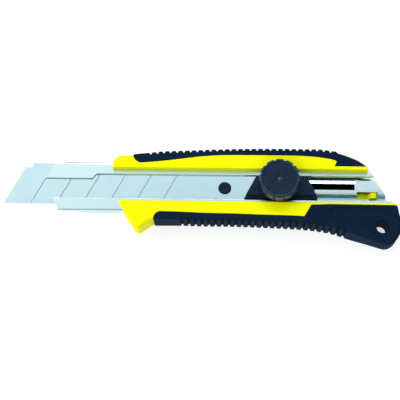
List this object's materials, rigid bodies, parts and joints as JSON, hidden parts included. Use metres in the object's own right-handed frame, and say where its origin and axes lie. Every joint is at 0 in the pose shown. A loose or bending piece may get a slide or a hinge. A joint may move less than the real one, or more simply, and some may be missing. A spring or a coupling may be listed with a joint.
{
  "type": "utility knife",
  "caption": "Screw-lock snap-off utility knife: yellow frame with ribbed black grips, folded steel blade holder, wide scored blade, round lobed locking knob and hanging hole.",
  "frame": {"origin": "centre of the outline's bounding box, on the flat back of the handle", "axes": "+X towards the tail of the handle and away from the blade tip, +Y towards the upper grip, +Z out of the front face towards the knob"},
  "size_m": [0.2066, 0.051, 0.0225],
  "materials": {
    "yellow_plastic": "satin moulded plastic",
    "black_elastomer": "fine moulded texture",
    "black_plastic": "satin moulded plastic",
    "steel_sheet": "bright rolled sheet",
    "blade_steel": "ground",
    "fastener_steel": "zinc plated",
    "brass_insert": "machined"
  },
  "bodies": {
    "handle": {"main_frame": "yellow_plastic", "upper_grip": "black_elastomer", "lower_grip": "black_elastomer", "blade_holder": "steel_sheet", "holder_rivets": "fastener_steel", "wear_strip": "black_plastic"},
    "carriage": {"slider": "black_plastic", "blade": "blade_steel", "blade_carrier": "steel_sheet", "blade_peg": "black_plastic", "carrier_rivets": "fastener_steel", "flat_washer": "fastener_steel", "spring_washer": "fastener_steel"},
    "knob": {"lock_knob": "black_plastic", "knob_insert": "brass_insert", "knob_cap": "black_plastic"},
    "clamp": {"lock_bolt": "fastener_steel", "clamp_plate": "fastener_steel", "retaining_ring": "fastener_steel"},
    "latch": {"stop_latch": "yellow_plastic"}
  },
  "joints": [
    {"name": "blade_extend", "type": "slide", "parent": "handle", "child": "carriage", "axis": [-1, 0, 0], "range_m": [-0.036, 0.058]},
    {"name": "knob_turn", "type": "hinge", "parent": "carriage", "child": "knob", "pos_m": [0.04025, 0.00655, 0.0184], "axis": [0, 0, 1], "range_deg": [0, 450]},
    {"name": "clamp_drop", "type": "slide", "parent": "carriage", "child": "clamp", "axis": [0, 0, -1], "range_m": [0, 0.00101]},
    {"name": "latch_press", "type": "hinge", "parent": "handle", "child": "latch", "pos_m": [0.078, 0.0023, 0.003], "axis": [0, 1, 0], "range_deg": [0, 7], "stiffness_Nm_per_rad": 0.5}
  ],
  "couplings": [
    {"joint": "clamp_drop", "follows": "knob_turn", "m_per_rad": 0.00012732}
  ]
}
